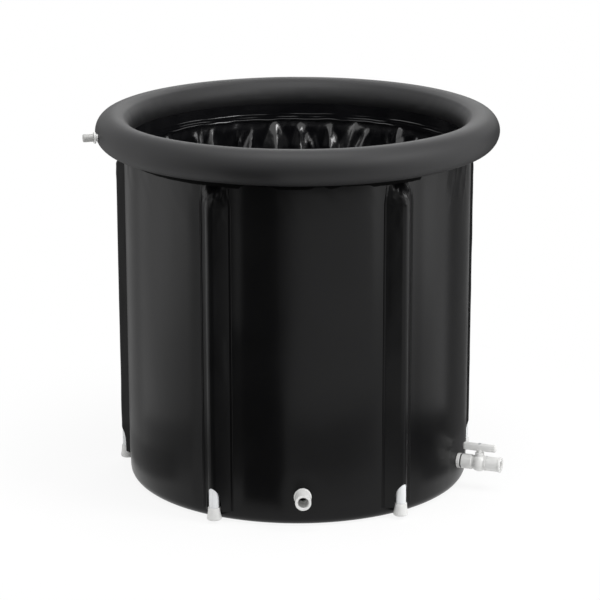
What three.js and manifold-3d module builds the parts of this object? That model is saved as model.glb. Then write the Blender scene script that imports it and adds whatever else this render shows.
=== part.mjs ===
// Cold plunge tub: a layered soft wall held up by rods in pockets, under an inflatable ring.
// Millimetres, +Z up. The origin is the middle of the base, on the floor, and the front faces -Y.
// Angles round the tub are in degrees from the front, positive towards +X.
import * as THREE from 'three';
import { mergeVertices } from 'three/addons/utils/BufferGeometryUtils.js';
import Module from 'manifold-3d';

const wasm = await Module();
wasm.setup();

// The whole tub
const overallHeight = 750;
const wallDiameter = 690;
const clearance = 0.3; // gap left between pieces that touch
const overcut = 1; // how far a cutting tool reaches past the face that it cuts
const roundSteps = 72; // facets round the tub
const pipeSteps = 16; // facets round a fitting

// Wall, insulation and base
const wallThickness = 1.2;
const wallCornerRadius = 18;
const cornerSteps = 4;
const wallTurnIn = 30; // how far the wall's lower edge runs in under the tub
const insulationThickness = 4;
const baseThickness = 1.2;

// Inflatable ring and the band that welds it to the wall
const ringTubeDiameter = 70;
const ringOverlap = 12; // how far the tube reaches in past the wall's face
const ringSkin = 1.2;
const ringTubeSteps = 16;
const ringHollowSteps = 6;
const bandHeight = 14;
const bandThickness = 1;

// Liner, hanging from its hem
const linerThickness = 1.2;
const hemHeight = 45;
const hemThickness = 1;

// Support rods in their pockets
const supportTurn = 3.5; // the supports' line of symmetry, from the front
const supportSpread = [30.4, 101.5, 153.9]; // mirrored pairs on both sides of that line
const rodDiameter = 20;
const rodWall = 1.8;
const footDiameter = 29;
const footNeckDiameter = 24;
const footHeight = 25;
const footLift = 6; // the feet hang this far above the floor
const footFloor = 6; // thickness under the rod
const footRound = 2.5;
const plugHead = 2.5;
const plugSpigot = 12;
const plugSpigotWall = 1.6;
const pocketThickness = 1;
const pocketWidth = 68;
const pocketWeld = 5; // width of the welded strip along each side
const pocketBelowRim = 94; // from the top of the tub down to the pocket's upper edge on the wall
const pocketRoofFall = 24; // from there down to the front of the sloping roof
const pocketFoot = 22; // height of the pocket's lower edge
const archTop = 72;
const archFoot = 34; // height where the arch's sides turn upright
const archMargin = 1.5; // between the rod's foot and the sides of the arch
const ridgeSteps = 5;
const archSteps = 8;

// Fittings through the wall
const gasketThickness = 2;

// Spout, front
const spoutAngle = 1.5;
const spoutHeight = 62;
const spoutReach = 40;
const spoutTubeDiameter = 31;
const spoutBore = 21.4;
const spoutFlangeDiameter = 34;
const spoutFlangeThickness = 5;
const spoutBarrelDiameter = 26;
const spoutThroat = 18; // bore of the barrel, where the plug sits
const spoutLip = 0.8; // rounding of the open end
const spoutNutDiameter = 40;
const spoutNutLength = 8;
const barrelStandOut = 2; // barrel past its nut
const drainPlugDepth = 12;
const drainPlugTaper = 0.6;
const drainPlugHeadDiameter = 25;
const drainPlugHeadThickness = 3;
const drainPlugGripLength = 10;
const drainPlugGripWidth = 14;
const drainPlugGripThickness = 3.2;

// Tap, right
const tapAngle = 69;
const tapHeight = 57;
const bulkheadBarrelDiameter = 22;
const bulkheadFlangeDiameter = 40;
const bulkheadFlangeThickness = 4;
const waterway = 14; // bore through bulkhead, tap and ball
const lockNutDiameter = 30;
const lockNutLength = 7;
const tapGasketDiameter = 28;
const tapInletDiameter = 30;
const tapInletLength = 23;
const tapSocketDepth = 12;
const tapGrooveDepth = 1;
const tapGrooveWidth = 1.6;
const tapBulgeDiameter = 35;
const tapBulgeSteps = 7;
const tapBallOffset = 13; // from the inlet's end to the ball's middle
const tapCollarDiameter = 30;
const tapCollarLength = 4;
const tapBodyReach = 15; // from the ball's middle to the body's open end
const ballDiameter = 20;
const seatReach = 10.6; // from the ball's middle to the back of a seat
const seatFace = 5;
const seatWall = 1.5;
const outletDiameter = 29;
const outletLength = 30;
const outletBore = 18;
const outletRimDiameter = 31;
const outletRimLength = 4;
const outletTransition = 3; // length of the cone from the waterway to the wider bore
const bossDiameter = 18;
const bossTop = 22;
const stemDiameter = 8;
const stemSealWidth = 2;
const stemSealHeight = 3;
const leverLength = 70;
const leverWidth = 10;
const leverDepth = 16;
const leverCorner = 5;
const leverHubHeight = 2.5;
const leverBevel = 1.2;
const leverSocketDepth = 9;
const screwHeadDiameter = 6.5;
const screwHeadHeight = 2;
const screwShankDiameter = 3;
const screwShankLength = 12;

// Air valve, left on the ring
const valveAngle = -76.5;
const valveNeckDiameter = 14;
const valveNeckInside = 6; // neck inside the ring
const valveStandOff = 3; // from the ring to the collar
const valveCollarDiameter = 23;
const valveCollarThickness = 4;
const valveStubDiameter = 10;
const valveStubLength = 13;
const valveBore = 6;
const valveCapDiameter = 15.5;
const valveCapEnd = 6; // solid end of the cap
const valveCapRound = 1.2;
const valveSealThickness = 1.5;

// Finishes
const blackSheet = { color: 0x1c1d1f, roughness: 0.42, metalness: 0 };
const greyRing = { color: 0x2c2d2f, roughness: 0.6, metalness: 0 };
const glossyLiner = { color: 0x0d0d0f, roughness: 0.22, metalness: 0 };
const whitePlastic = { color: 0xf1f1ef, roughness: 0.38, metalness: 0 };
const blackRubber = { color: 0x121212, roughness: 0.75, metalness: 0 };
const greyFoam = { color: 0x8d9296, roughness: 0.9, metalness: 0 };
const sealWhite = { color: 0xe4e2da, roughness: 0.5, metalness: 0 };
const screwSteel = { color: 0xb9bcc0, roughness: 0.3, metalness: 1 };

const wallRadius = wallDiameter / 2;
const ringRadius = ringTubeDiameter / 2;
const ringCentreRadius = wallRadius + ringRadius - ringOverlap;
const ringHeight = overallHeight - ringRadius;
const rodRadius = rodDiameter / 2;
const barrelRadius = spoutBarrelDiameter / 2;
const bulkheadRadius = bulkheadBarrelDiameter / 2;
const ballRadius = ballDiameter / 2;
const facet = Math.cos(Math.PI / roundSteps); // inner radius of a faceted circle of radius 1

const insulationOuter = wallRadius - wallThickness - clearance;
const insulationInner = insulationOuter - insulationThickness;
const linerOuter = insulationInner * facet - clearance;
const linerInner = linerOuter - linerThickness;
const linerFace = linerInner * facet;
const hemOuter = linerFace - clearance;
const baseInsulationBottom = baseThickness + clearance;
const baseInsulationTop = baseInsulationBottom + insulationThickness;
const linerFloorBottom = baseInsulationTop + clearance;
const linerFloorTop = linerFloorBottom + linerThickness;

const tub = new THREE.Group();

// Keeps only what a solid needs: shared corners, no empty triangles, faces turned out.
function solid(geometry) {
  const bare = new THREE.BufferGeometry();
  bare.setAttribute('position', geometry.getAttribute('position'));
  bare.setIndex(geometry.getIndex());
  const merged = mergeVertices(bare, 1e-4);
  const source = merged.getIndex().array;
  const place = merged.getAttribute('position');
  const corner = [new THREE.Vector3(), new THREE.Vector3(), new THREE.Vector3()];
  const kept = [];
  let volume = 0;
  for (let i = 0; i < source.length; i += 3) {
    const [a, b, c] = [source[i], source[i + 1], source[i + 2]];
    if (a === b || b === c || c === a) continue;
    kept.push(a, b, c);
    [a, b, c].forEach((index, k) => corner[k].fromBufferAttribute(place, index));
    volume += corner[0].dot(corner[1].clone().cross(corner[2]));
  }
  merged.setIndex(volume < 0 ? kept.reverse() : kept);
  return merged;
}

function toManifold(geometry) {
  const closed = solid(geometry);
  const vertProperties = new Float32Array(closed.getAttribute('position').array);
  const triVerts = new Uint32Array(closed.getIndex().array);
  return new wasm.Manifold(new wasm.Mesh({ numProp: 3, vertProperties, triVerts }));
}

function fromManifold(shape) {
  const mesh = shape.getMesh();
  const geometry = new THREE.BufferGeometry();
  geometry.setAttribute('position', new THREE.BufferAttribute(mesh.vertProperties, 3));
  geometry.setIndex(new THREE.BufferAttribute(mesh.triVerts, 1));
  return geometry;
}

function subtract(base, ...tools) {
  return fromManifold(tools.reduce((left, tool) => left.subtract(toManifold(tool)), toManifold(base)));
}

function join(...pieces) {
  return fromManifold(pieces.map(toManifold).reduce((sum, piece) => sum.add(piece)));
}

function addPart(parent, name, geometry, finish) {
  const mesh = new THREE.Mesh(solid(geometry), new THREE.MeshStandardMaterial(finish));
  mesh.name = name;
  parent.add(mesh);
}

// Turns a profile of [radius, height] about the tub's axis. It starts and ends on the axis, or closes.
function lathe(profile, steps = roundSteps) {
  const points = profile.map(([radius, height]) => new THREE.Vector2(radius, height));
  if (profile[0][0] > 0) points.push(points[0].clone());
  return new THREE.LatheGeometry(points, steps).rotateX(Math.PI / 2);
}

// Turns a profile of [radius, distance out] about a fitting's own axis, which points out of the tub along -Y.
function turned(profile) {
  const points = profile.map(([radius, out]) => new THREE.Vector2(radius, out));
  if (profile[0][0] > 0) points.push(points[0].clone());
  return new THREE.LatheGeometry(points, pipeSteps).rotateX(Math.PI);
}

// An upright round pin, in a frame, between two heights.
function upright(radius, bottom, top) {
  const pin = new THREE.CylinderGeometry(radius, radius, top - bottom, pipeSteps);
  return pin.rotateX(Math.PI / 2).translate(0, 0, (bottom + top) / 2);
}

// A plate with a profile of [distance out, height], in the middle of a frame.
function standing(profile, width) {
  const shape = new THREE.Shape(profile.map(([out, height]) => new THREE.Vector2(out, height)));
  const plate = new THREE.ExtrudeGeometry(shape, { depth: width, bevelEnabled: false });
  plate.translate(0, 0, -width / 2);
  const out = new THREE.Vector3(0, -1, 0);
  const up = new THREE.Vector3(0, 0, 1);
  return plate.applyMatrix4(new THREE.Matrix4().makeBasis(out, up, out.clone().cross(up)));
}

// A frame on the tub: -Y points out, Z up.
function frameAt(angle, radius, height) {
  const frame = new THREE.Group();
  const turn = THREE.MathUtils.degToRad(angle);
  frame.position.set(radius * Math.sin(turn), -radius * Math.cos(turn), height);
  frame.rotation.z = turn;
  frame.updateMatrix();
  tub.add(frame);
  return frame;
}

function intoFrame(geometry, frame) {
  return geometry.clone().applyMatrix4(frame.matrix.clone().invert());
}

// Points on a quarter or other arc, as [radius, height].
function arc(centre, radius, from, to, steps) {
  return Array.from({ length: steps + 1 }, (_, i) => {
    const angle = THREE.MathUtils.degToRad(from + ((to - from) * i) / steps);
    return [centre[0] + radius * Math.cos(angle), centre[1] + radius * Math.sin(angle)];
  });
}

// Height of the ring's underside, less the clearance, at a distance from the tub's axis.
function underRing(radius) {
  return ringHeight - Math.sqrt((ringRadius + clearance) ** 2 - (ringCentreRadius - radius) ** 2);
}

// Where a flat washer of a radius lies against the liner, as a distance out from the wall's face.
function insideSeat(radius) {
  return Math.sqrt(linerFace ** 2 - radius ** 2) - wallRadius - clearance;
}

const spoutFrame = frameAt(spoutAngle, wallRadius, spoutHeight);
const tapFrame = frameAt(tapAngle, wallRadius, tapHeight);
const valveFrame = frameAt(valveAngle, ringCentreRadius + ringRadius, ringHeight);

function hole(frame, barrel, length) {
  const radius = barrel + clearance;
  return new THREE.CylinderGeometry(radius, radius, length, pipeSteps).applyMatrix4(frame.matrix);
}

const layerDepth = wallRadius - linerInner;
const fittingHoles = [
  hole(spoutFrame, barrelRadius, 4 * layerDepth),
  hole(tapFrame, bulkheadRadius, 4 * layerDepth),
];

function makeWall() {
  const cornerCentre = [wallRadius - wallCornerRadius, wallCornerRadius];
  const inner = wallRadius - wallThickness;
  const profile = [
    [wallRadius - wallTurnIn, 0],
    ...arc(cornerCentre, wallCornerRadius, -90, 0, cornerSteps),
    [wallRadius, underRing(wallRadius)],
    [inner, underRing(inner)],
    ...arc(cornerCentre, wallCornerRadius - wallThickness, 0, -90, cornerSteps),
    [wallRadius - wallTurnIn, wallThickness],
  ];
  addPart(tub, 'outer_wall', subtract(lathe(profile), ...fittingHoles), blackSheet);
}

function makeWallInsulation() {
  const bottom = wallCornerRadius + clearance;
  const profile = [
    [insulationInner, bottom],
    [insulationOuter, bottom],
    [insulationOuter, underRing(insulationOuter)],
    [insulationInner, underRing(insulationInner)],
  ];
  addPart(tub, 'wall_insulation', subtract(lathe(profile), ...fittingHoles), greyFoam);
}

function disc(radius, bottom, top) {
  return lathe([[0, bottom], [radius, bottom], [radius, top], [0, top]]);
}

function makeBase() {
  const sheetRadius = wallRadius - wallTurnIn - clearance;
  const insulationRadius = wallRadius - wallCornerRadius;
  const cornerFace = (wallCornerRadius - wallThickness) * Math.cos(Math.PI / 4 / cornerSteps) - clearance;
  const floorReach = Math.sqrt(cornerFace ** 2 - (wallCornerRadius - linerFloorBottom) ** 2);
  const baseInsulation = disc(insulationRadius, baseInsulationBottom, baseInsulationTop);
  addPart(tub, 'base_sheet', disc(sheetRadius, 0, baseThickness), blackSheet);
  addPart(tub, 'base_insulation', baseInsulation, greyFoam);
  const linerFloor = disc(insulationRadius + floorReach, linerFloorBottom, linerFloorTop);
  addPart(tub, 'liner_floor', linerFloor, glossyLiner);
}

function makeLiner() {
  const bottom = linerFloorTop + clearance;
  const liner = lathe([
    [linerInner, bottom],
    [linerOuter, bottom],
    [linerOuter, underRing(linerOuter)],
    [linerInner, underRing(linerInner)],
  ]);
  addPart(tub, 'inner_liner', subtract(liner, ...fittingHoles), glossyLiner);

  const hemBottom = underRing(linerInner) - hemHeight;
  const hemInner = hemOuter - hemThickness;
  const hem = lathe([
    [hemInner, hemBottom],
    [hemOuter, hemBottom],
    [hemOuter, underRing(hemOuter)],
    [hemInner, underRing(hemInner)],
  ]);
  addPart(tub, 'liner_hem', hem, glossyLiner);
}

function makeRing() {
  const centre = [ringCentreRadius, ringHeight];
  const skin = lathe(arc(centre, ringRadius, 0, 360, ringTubeSteps).slice(0, -1));
  const air = lathe(arc(centre, ringRadius - ringSkin, 0, 360, ringHollowSteps).slice(0, -1));
  const valveHole = hole(valveFrame, valveNeckDiameter / 2, ringRadius);
  addPart(tub, 'inflatable_ring', subtract(skin, air, valveHole), greyRing);

  const bandInner = wallRadius + clearance;
  const bandOuter = bandInner + bandThickness;
  const bandBottom = underRing(bandOuter) - bandHeight;
  const band = lathe([
    [bandInner, bandBottom],
    [bandOuter, bandBottom],
    [bandOuter, underRing(bandOuter)],
    [bandInner, underRing(bandInner)],
  ]);
  addPart(tub, 'ring_weld_band', band, blackSheet);
}

const rodOut = footDiameter / 2 + clearance; // the rod's axis, out from the wall's face
const ridgeOut = rodOut + rodRadius + clearance + pocketThickness;
const pocketRoofTop = overallHeight - pocketBelowRim;
const pocketRidgeTop = pocketRoofTop - pocketRoofFall;
const sectionDepth = 2 * wallThickness + ridgeOut / 4; // the section's reach inside the wall's face
const roofSlope = pocketRoofFall / ridgeOut;
const roofDrop = pocketThickness * Math.hypot(1, roofSlope); // the roof's thickness, measured upright

function roofHeight(out) {
  return pocketRidgeTop + (ridgeOut - out) * roofSlope;
}

// The pocket's section, outside or inside its sheet: welded strips on the wall, then straight sides that
// touch a circle about the rod.
function pocketSection() {
  const half = pocketWidth / 2;
  const footHalf = half - pocketWeld;
  const footOut = Math.sqrt(wallRadius ** 2 - footHalf ** 2) - wallRadius + clearance + pocketThickness;
  const inner = rodRadius + clearance;
  const outer = inner + pocketThickness;
  const rise = Math.atan2(rodOut - footOut, footHalf);
  const slope = rise + Math.asin(outer / Math.hypot(footHalf, rodOut - footOut));
  const lean = THREE.MathUtils.radToDeg(slope);
  const touchOut = rodOut + inner * Math.cos(slope);
  const innerHalf = inner * Math.sin(slope) + (touchOut + sectionDepth) / Math.tan(slope);
  const ridge = (radius) => arc([0, rodOut], radius, 90 + lean, 90 - lean, ridgeSteps);
  const strip = [[footHalf, footOut], [half, footOut], [half, -sectionDepth]];
  const mirrored = strip.map(([across, out]) => [-across, out]).reverse();
  return {
    outside: [...mirrored, ...ridge(outer), ...strip],
    inside: [[-innerHalf, -sectionDepth], ...ridge(inner), [innerHalf, -sectionDepth]],
  };
}

// The space under a pocket's sheet, or the pocket with its sheet, up to the sloping roof.
function tent(outline, bottom, drop) {
  const height = pocketRoofTop + ridgeOut - bottom;
  const shape = new THREE.Shape(outline.map(([across, out]) => new THREE.Vector2(across, -out)));
  const body = new THREE.ExtrudeGeometry(shape, { depth: height, bevelEnabled: false });
  const far = 2 * ridgeOut;
  const roof = standing([
    [far, roofHeight(far) - drop],
    [far, bottom + 2 * height],
    [-far, bottom + 2 * height],
    [-far, roofHeight(-far) - drop],
  ], 2 * pocketWidth);
  return subtract(body.translate(0, 0, bottom), roof);
}

// Cuts the pocket's lower edge, with an arch for the rod and its foot.
function pocketArch() {
  const half = footDiameter / 2 + archMargin;
  const edge = pocketWidth / 2 + overcut;
  const crown = arc([0, 0], 1, 0, 180, archSteps).map(([across, rise]) => {
    return [half * across, archFoot + (archTop - archFoot) * rise];
  });
  const outline = [
    [edge, -overcut],
    [edge, pocketFoot],
    [half, pocketFoot],
    ...crown,
    [-half, pocketFoot],
    [-edge, pocketFoot],
    [-edge, -overcut],
  ];
  const shape = new THREE.Shape(outline.map(([across, height]) => new THREE.Vector2(across, height)));
  const depth = 4 * ridgeOut;
  const cutter = new THREE.ExtrudeGeometry(shape, { depth, bevelEnabled: false });
  return cutter.translate(0, 0, -depth / 2).rotateX(Math.PI / 2);
}

function makePocket(frame, number) {
  const section = pocketSection();
  const sheet = tent(section.outside, 0, 0);
  const space = tent(section.inside, -overcut, roofDrop);
  const wall = intoFrame(disc(wallRadius + clearance, -overcut, overallHeight), frame);
  addPart(frame, `pocket_${number}`, subtract(sheet, space, wall, pocketArch()), blackSheet);
}

function makeSupport(angle, number) {
  const frame = frameAt(angle, wallRadius, 0);
  makePocket(frame, number);
  const stand = new THREE.Group();
  stand.position.y = -rodOut;
  frame.add(stand);

  const footRadius = footDiameter / 2;
  const socket = rodRadius + clearance;
  const foot = lathe([
    [0, 0],
    [footRadius - footRound, 0],
    ...arc([footRadius - footRound, footRound], footRound, -45, 0, 1),
    [footRadius, 2 * footRound],
    [footNeckDiameter / 2, footHeight],
    [socket, footHeight],
    [socket, footFloor],
    [0, footFloor],
  ], pipeSteps).translate(0, 0, footLift);
  addPart(stand, `rod_foot_${number}`, foot, whitePlastic);

  const rodBottom = footLift + footFloor + clearance;
  const plugTop = roofHeight(rodOut + rodRadius) - roofDrop - clearance;
  const rodTop = plugTop - plugHead - clearance;
  const bore = rodRadius - rodWall;
  const rod = lathe([[bore, rodBottom], [rodRadius, rodBottom], [rodRadius, rodTop], [bore, rodTop]], pipeSteps);
  addPart(stand, `support_rod_${number}`, rod, whitePlastic);

  const spigot = bore - clearance;
  const plug = lathe([
    [spigot - plugSpigotWall, rodTop - plugSpigot],
    [spigot, rodTop - plugSpigot],
    [spigot, rodTop + clearance],
    [rodRadius, rodTop + clearance],
    [rodRadius, plugTop],
    [spigot - plugSpigotWall, plugTop],
  ], pipeSteps);
  addPart(stand, `rod_plug_${number}`, plug, whitePlastic);
}

function makeSupports() {
  const angles = supportSpread.flatMap((spread) => [supportTurn - spread, supportTurn + spread]);
  angles.forEach((angle, index) => makeSupport(angle, index + 1));
}

function ring(innerRadius, outerRadius, from, to) {
  return turned([[innerRadius, from], [outerRadius, from], [outerRadius, to], [innerRadius, to]]);
}

function makeSpout() {
  const flangeRadius = spoutFlangeDiameter / 2;
  const tubeRadius = spoutTubeDiameter / 2;
  const gasketBack = clearance;
  const flangeBack = gasketBack + gasketThickness + clearance;
  const flangeFront = flangeBack + spoutFlangeThickness;
  const innerGasketFront = insideSeat(spoutNutDiameter / 2);
  const nutFront = innerGasketFront - gasketThickness - clearance;
  const nutBack = nutFront - spoutNutLength;
  const barrelEnd = nutBack - barrelStandOut;
  const body = turned([
    [spoutThroat / 2, barrelEnd],
    [barrelRadius, barrelEnd],
    [barrelRadius, flangeBack],
    [flangeRadius, flangeBack],
    [flangeRadius, flangeFront],
    [tubeRadius, flangeFront],
    [tubeRadius, spoutReach - spoutLip],
    [tubeRadius - spoutLip, spoutReach],
    [spoutBore / 2, spoutReach],
    [spoutBore / 2, flangeFront],
    [spoutThroat / 2, flangeFront],
  ]);
  const washerBore = barrelRadius + clearance;
  const outerGasket = ring(washerBore, flangeRadius, gasketBack, gasketBack + gasketThickness);
  const innerGasket = ring(washerBore, spoutNutDiameter / 2, nutFront + clearance, innerGasketFront);
  addPart(spoutFrame, 'spout_body', body, whitePlastic);
  addPart(spoutFrame, 'spout_gasket', outerGasket, blackRubber);
  addPart(spoutFrame, 'spout_inner_gasket', innerGasket, blackRubber);
  addPart(spoutFrame, 'spout_nut', ring(washerBore, spoutNutDiameter / 2, nutBack, nutFront), whitePlastic);
  makeDrainPlug(barrelEnd);
}

function makeDrainPlug(barrelEnd) {
  const plugRadius = spoutThroat / 2 - clearance;
  const headFront = barrelEnd - clearance;
  const headBack = headFront - drainPlugHeadThickness;
  const gripBack = headBack - drainPlugGripLength;
  const stopper = turned([
    [0, headBack],
    [drainPlugHeadDiameter / 2, headBack],
    [drainPlugHeadDiameter / 2, headFront],
    [plugRadius, headFront],
    [plugRadius - drainPlugTaper, headFront + drainPlugDepth],
    [0, headFront + drainPlugDepth],
  ]);
  const gripRound = drainPlugGripWidth / 2;
  const tip = arc([gripBack + gripRound, 0], gripRound, 90, 270, archSteps);
  const grip = standing([...tip, [headFront, -gripRound], [headFront, gripRound]], drainPlugGripThickness);
  addPart(spoutFrame, 'drain_plug', join(stopper, grip), blackRubber);
}

const nutStart = clearance;
const nutEnd = nutStart + lockNutLength;
const tapGasketEnd = nutEnd + clearance + gasketThickness;
const inletStart = tapGasketEnd + clearance;
const inletEnd = inletStart + tapInletLength;
const ballOut = inletEnd + tapBallOffset;
const bodyEnd = ballOut + tapBodyReach;
const chamberRadius = ballRadius + seatWall;
const stemRadius = stemDiameter / 2;

function makeBulkhead() {
  const gasketFront = insideSeat(bulkheadFlangeDiameter / 2);
  const flangeFront = gasketFront - gasketThickness - clearance;
  const flangeBack = flangeFront - bulkheadFlangeThickness;
  const flangeRadius = bulkheadFlangeDiameter / 2;
  const barrelEnd = inletStart + tapSocketDepth;
  const bulkhead = turned([
    [waterway / 2, flangeBack],
    [flangeRadius, flangeBack],
    [flangeRadius, flangeFront],
    [bulkheadRadius, flangeFront],
    [bulkheadRadius, barrelEnd],
    [waterway / 2, barrelEnd],
  ]);
  const washerBore = bulkheadRadius + clearance;
  const innerGasket = ring(washerBore, flangeRadius, flangeFront + clearance, gasketFront);
  const tapGasket = ring(washerBore, tapGasketDiameter / 2, nutEnd + clearance, tapGasketEnd);
  addPart(tapFrame, 'tap_bulkhead', bulkhead, whitePlastic);
  addPart(tapFrame, 'tap_inner_gasket', innerGasket, blackRubber);
  addPart(tapFrame, 'tap_lock_nut', ring(washerBore, lockNutDiameter / 2, nutStart, nutEnd), whitePlastic);
  addPart(tapFrame, 'tap_gasket', tapGasket, blackRubber);
}

const sealRadius = stemRadius + clearance + stemSealWidth;
const sealTop = bossTop - clearance;
const sealBottom = sealTop - stemSealHeight;

function makeTapBody() {
  const inletRadius = tapInletDiameter / 2;
  const grooveRadius = inletRadius - tapGrooveDepth;
  const bulgeRadius = tapBulgeDiameter / 2;
  const bulgeLean = THREE.MathUtils.radToDeg(Math.asin(grooveRadius / bulgeRadius));
  const bulge = arc([0, ballOut], bulgeRadius, bulgeLean - 90, 90 - bulgeLean, tapBulgeSteps);
  const collarStart = bodyEnd - tapCollarLength;
  const shell = turned([
    [0, inletStart],
    [inletRadius, inletStart],
    [inletRadius, inletEnd - tapGrooveWidth],
    [grooveRadius, inletEnd - tapGrooveWidth],
    ...bulge,
    [grooveRadius, collarStart],
    [tapCollarDiameter / 2, collarStart],
    [tapCollarDiameter / 2, bodyEnd],
    [0, bodyEnd],
  ]);
  const socketRadius = bulkheadRadius + clearance;
  const chamberStart = ballOut - seatReach - clearance;
  const hollow = turned([
    [0, inletStart - overcut],
    [socketRadius, inletStart - overcut],
    [socketRadius, inletStart + tapSocketDepth + clearance],
    [waterway / 2, inletStart + tapSocketDepth + clearance],
    [waterway / 2, chamberStart],
    [chamberRadius, chamberStart],
    [chamberRadius, bodyEnd + overcut],
    [0, bodyEnd + overcut],
  ]);
  const boss = upright(bossDiameter / 2, 0, bossTop).translate(0, -ballOut, 0);
  const stemHole = upright(stemRadius + clearance, 0, bossTop + overcut).translate(0, -ballOut, 0);
  const sealSeat = upright(sealRadius + clearance, sealBottom - clearance, bossTop + overcut);
  const body = subtract(join(shell, boss), hollow, stemHole, sealSeat.translate(0, -ballOut, 0));
  addPart(tapFrame, 'tap_body', body, whitePlastic);
}

function makeSeats() {
  const seatRadius = chamberRadius - clearance;
  const ballSpace = new THREE.SphereGeometry(ballRadius + clearance, 2 * pipeSteps, pipeSteps);
  ballSpace.translate(0, -ballOut, 0);
  const inner = ring(waterway / 2, seatRadius, ballOut - seatReach, ballOut - seatFace);
  const outer = ring(waterway / 2, seatRadius, ballOut + seatFace, ballOut + seatReach);
  addPart(tapFrame, 'tap_seat_inner', subtract(inner, ballSpace), sealWhite);
  addPart(tapFrame, 'tap_seat_outer', subtract(outer, ballSpace), sealWhite);
}

function makeOutlet() {
  const spigotStart = ballOut + seatReach + clearance;
  const outletStart = bodyEnd + clearance;
  const outletEnd = outletStart + outletLength;
  const rimStart = outletEnd - outletRimLength;
  const outlet = turned([
    [waterway / 2, spigotStart],
    [chamberRadius - clearance, spigotStart],
    [chamberRadius - clearance, outletStart],
    [outletDiameter / 2, outletStart],
    [outletDiameter / 2, rimStart],
    [outletRimDiameter / 2, rimStart],
    [outletRimDiameter / 2, outletEnd],
    [outletBore / 2, outletEnd],
    [outletBore / 2, outletStart + outletTransition],
    [waterway / 2, outletStart],
  ]);
  addPart(tapFrame, 'tap_outlet', outlet, whitePlastic);
}

function makeTapHandle() {
  const handle = new THREE.Group();
  handle.position.y = -ballOut;
  tapFrame.add(handle);

  const ball = new THREE.SphereGeometry(ballRadius, pipeSteps, pipeSteps / 2);
  const bore = new THREE.CylinderGeometry(waterway / 2, waterway / 2, 2 * ballDiameter, pipeSteps);
  addPart(handle, 'tap_ball', subtract(ball, bore), whitePlastic);

  const hubBottom = bossTop + clearance;
  const barBottom = hubBottom + leverHubHeight;
  const barTop = barBottom + leverDepth;
  const stemBottom = ballRadius + clearance;
  const stemTop = barBottom + leverSocketDepth;
  const headBottom = barTop - screwHeadHeight;
  const shankEnd = headBottom - screwShankLength;
  const shankHole = screwShankDiameter / 2 + clearance;
  const stem = upright(stemRadius, stemBottom, stemTop);
  const thread = upright(shankHole, shankEnd - clearance, stemTop + overcut);
  addPart(handle, 'tap_stem', subtract(stem, thread), whitePlastic);

  const half = leverLength / 2 - leverBevel - leverCorner;
  const low = barBottom + leverBevel + leverCorner;
  const high = barTop - leverBevel - leverCorner;
  const outline = [
    ...arc([half, low], leverCorner, -90, 0, 3),
    ...arc([half, high], leverCorner, 0, 90, 3),
    ...arc([-half, high], leverCorner, 90, 180, 3),
    ...arc([-half, low], leverCorner, 180, 270, 3),
  ];
  const shape = new THREE.Shape(outline.map(([along, height]) => new THREE.Vector2(along, height)));
  const flat = leverWidth - 2 * leverBevel;
  const bevel = { bevelThickness: leverBevel, bevelSize: leverBevel, bevelSegments: 2 };
  const bar = new THREE.ExtrudeGeometry(shape, { depth: flat, ...bevel });
  bar.translate(0, 0, -flat / 2).rotateX(Math.PI / 2).rotateZ(Math.PI / 2);
  const hub = upright(stemRadius + leverHubHeight, hubBottom, low);
  const socket = upright(stemRadius + clearance, hubBottom - overcut, stemTop + clearance);
  const shankWay = upright(shankHole, stemTop, barTop);
  const headSeat = upright(screwHeadDiameter / 2 + clearance, headBottom - clearance, barTop + overcut);
  addPart(handle, 'tap_lever', subtract(join(bar, hub), socket, shankWay, headSeat), whitePlastic);

  const screw = lathe([
    [0, shankEnd],
    [screwShankDiameter / 2, shankEnd],
    [screwShankDiameter / 2, headBottom],
    [screwHeadDiameter / 2, headBottom],
    [screwHeadDiameter / 2, barTop],
    [0, barTop],
  ], pipeSteps);
  addPart(handle, 'tap_lever_screw', screw, screwSteel);

  const sealBore = stemRadius + clearance;
  const sealProfile = [[sealBore, sealBottom], [sealRadius, sealBottom], [sealRadius, sealTop], [sealBore, sealTop]];
  addPart(handle, 'tap_stem_seal', lathe(sealProfile, pipeSteps), blackRubber);
}

function makeAirValve() {
  const stubRadius = valveStubDiameter / 2;
  const collarEnd = valveStandOff + valveCollarThickness;
  const stubEnd = collarEnd + valveStubLength;
  const base = turned([
    [valveBore / 2, -valveNeckInside],
    [valveNeckDiameter / 2, -valveNeckInside],
    [valveNeckDiameter / 2, valveStandOff],
    [valveCollarDiameter / 2, valveStandOff],
    [valveCollarDiameter / 2, collarEnd],
    [stubRadius, collarEnd],
    [stubRadius, stubEnd],
    [valveBore / 2, stubEnd],
  ]);
  addPart(valveFrame, 'air_valve_base', base, whitePlastic);

  const sealBack = stubEnd + clearance;
  const sealFront = sealBack + valveSealThickness;
  const sealDisc = [[0, sealBack], [stubRadius, sealBack], [stubRadius, sealFront], [0, sealFront]];
  addPart(valveFrame, 'air_valve_seal', turned(sealDisc), blackRubber);

  const capRadius = valveCapDiameter / 2;
  const hollow = stubRadius + clearance;
  const hollowEnd = sealFront + clearance;
  const capEnd = hollowEnd + valveCapEnd;
  const cap = turned([
    [0, hollowEnd],
    [hollow, hollowEnd],
    [hollow, collarEnd + clearance],
    [capRadius, collarEnd + clearance],
    [capRadius, capEnd - valveCapRound],
    [capRadius - valveCapRound, capEnd],
    [0, capEnd],
  ]);
  addPart(valveFrame, 'air_valve_cap', cap, whitePlastic);
}

makeWall();
makeWallInsulation();
makeBase();
makeLiner();
makeRing();
makeSupports();
makeSpout();
makeBulkhead();
makeTapBody();
makeSeats();
makeOutlet();
makeTapHandle();
makeAirValve();

export default tub;
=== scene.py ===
import math
import random

import bpy
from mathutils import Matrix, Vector, noise


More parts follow.
